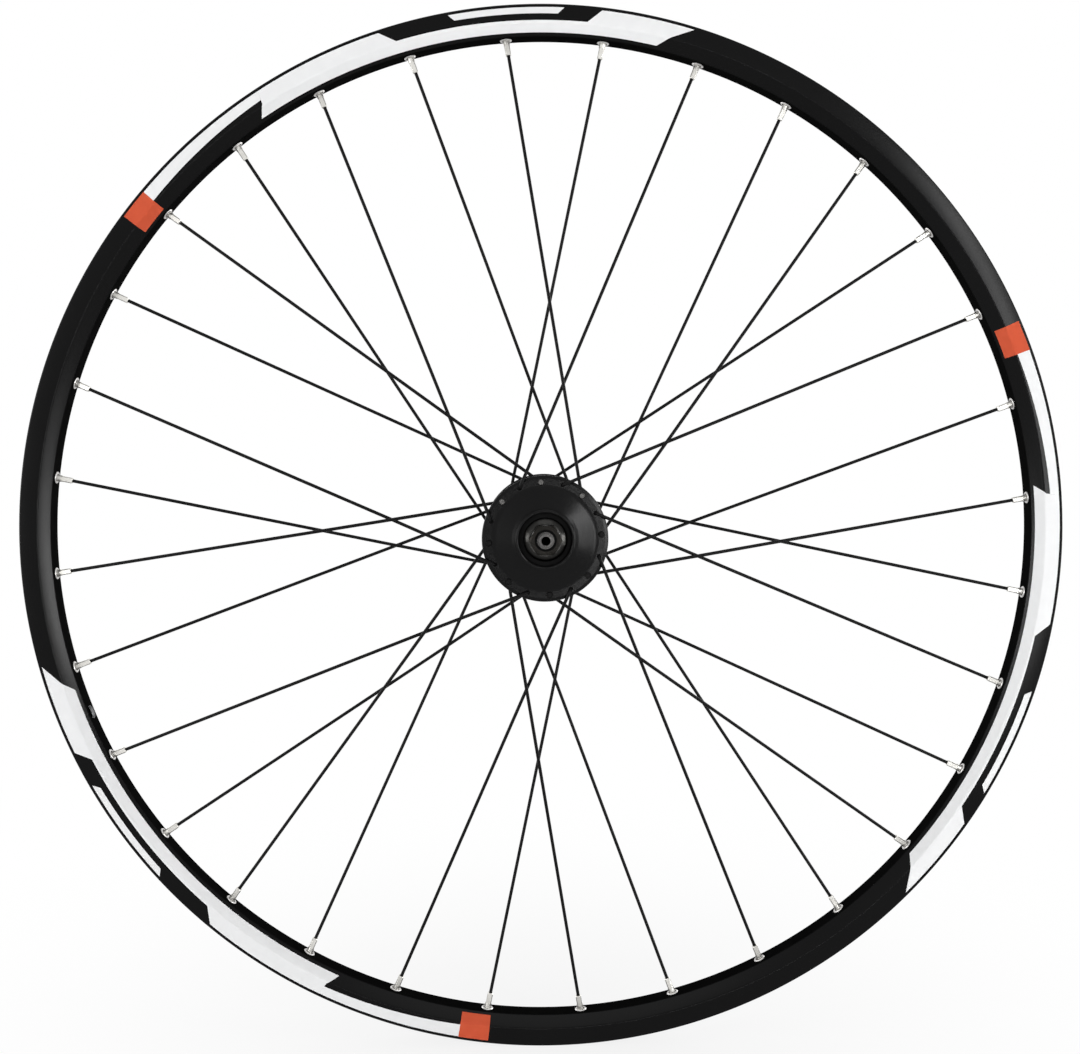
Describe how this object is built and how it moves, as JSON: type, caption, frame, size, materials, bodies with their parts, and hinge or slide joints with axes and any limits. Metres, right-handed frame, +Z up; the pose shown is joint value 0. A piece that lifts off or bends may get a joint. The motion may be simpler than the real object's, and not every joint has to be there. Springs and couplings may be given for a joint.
{
  "type": "bicycle wheel",
  "caption": "Spoked bicycle front wheel: hollow double-wall rim, crossed spokes in nipples, large-flange hub with a rotor seat, turning on ball bearings round a hollow axle.",
  "frame": {"origin": "centre of the wheel, on the axle's axis in the middle plane of the rim", "axes": "+Y along the axle towards the rotor side (the rider's left), +X forward, +Z up"},
  "size_m": [0.6352, 0.109, 0.6352],
  "materials": {
    "rim_paint": "satin",
    "eyelet_steel": "satin",
    "nipple_plating": "satin",
    "spoke_black": "satin",
    "hub_black": "satin",
    "bearing_steel": "polished",
    "cap_steel": "satin",
    "seal_rubber": "matte",
    "nut_steel": "satin",
    "axle_steel": "satin"
  },
  "bodies": {
    "axle_set": {"axle": "axle_steel", "right_cone": "bearing_steel", "right_dust_cap": "cap_steel", "right_lock_washer": "axle_steel", "right_locknut": "nut_steel", "left_cone": "bearing_steel", "left_dust_cap": "cap_steel", "left_lock_washer": "axle_steel", "left_locknut": "nut_steel"},
    "wheel": {"rim": "rim_paint", "eyelets": "eyelet_steel", "nipples": "nipple_plating", "spoke_01": "spoke_black", "spoke_02": "spoke_black", "spoke_03": "spoke_black", "spoke_04": "spoke_black", "spoke_05": "spoke_black", "spoke_06": "spoke_black", "spoke_07": "spoke_black", "spoke_08": "spoke_black", "spoke_09": "spoke_black", "spoke_10": "spoke_black", "spoke_11": "spoke_black", "spoke_12": "spoke_black", "spoke_13": "spoke_black", "spoke_14": "spoke_black", "spoke_15": "spoke_black", "spoke_16": "spoke_black", "spoke_17": "spoke_black", "spoke_18": "spoke_black", "spoke_19": "spoke_black", "spoke_20": "spoke_black", "spoke_21": "spoke_black", "spoke_22": "spoke_black", "spoke_23": "spoke_black", "spoke_24": "spoke_black", "spoke_25": "spoke_black", "spoke_26": "spoke_black", "spoke_27": "spoke_black", "spoke_28": "spoke_black", "spoke_29": "spoke_black", "spoke_30": "spoke_black", "spoke_31": "spoke_black", "spoke_32": "spoke_black", "hub_shell": "hub_black", "right_cup": "bearing_steel", "left_cup": "bearing_steel", "right_seal": "seal_rubber", "left_seal": "seal_rubber"},
    "right_ball_set": {"right_balls": "bearing_steel"},
    "left_ball_set": {"left_balls": "bearing_steel"}
  },
  "joints": [
    {"name": "wheel_spin", "type": "hinge", "parent": "axle_set", "child": "wheel", "pos_m": [0, 0, 0], "axis": [0, 1, 0], "continuous": true},
    {"name": "right_ball_orbit", "type": "hinge", "parent": "axle_set", "child": "right_ball_set", "pos_m": [0, -0.0334, 0], "axis": [0, 1, 0], "continuous": true},
    {"name": "left_ball_orbit", "type": "hinge", "parent": "axle_set", "child": "left_ball_set", "pos_m": [0, 0.0334, 0], "axis": [0, 1, 0], "continuous": true}
  ],
  "couplings": [
    {"joint": "right_ball_orbit", "follows": "wheel_spin", "ratio": 0.60143},
    {"joint": "left_ball_orbit", "follows": "wheel_spin", "ratio": 0.60143}
  ]
}
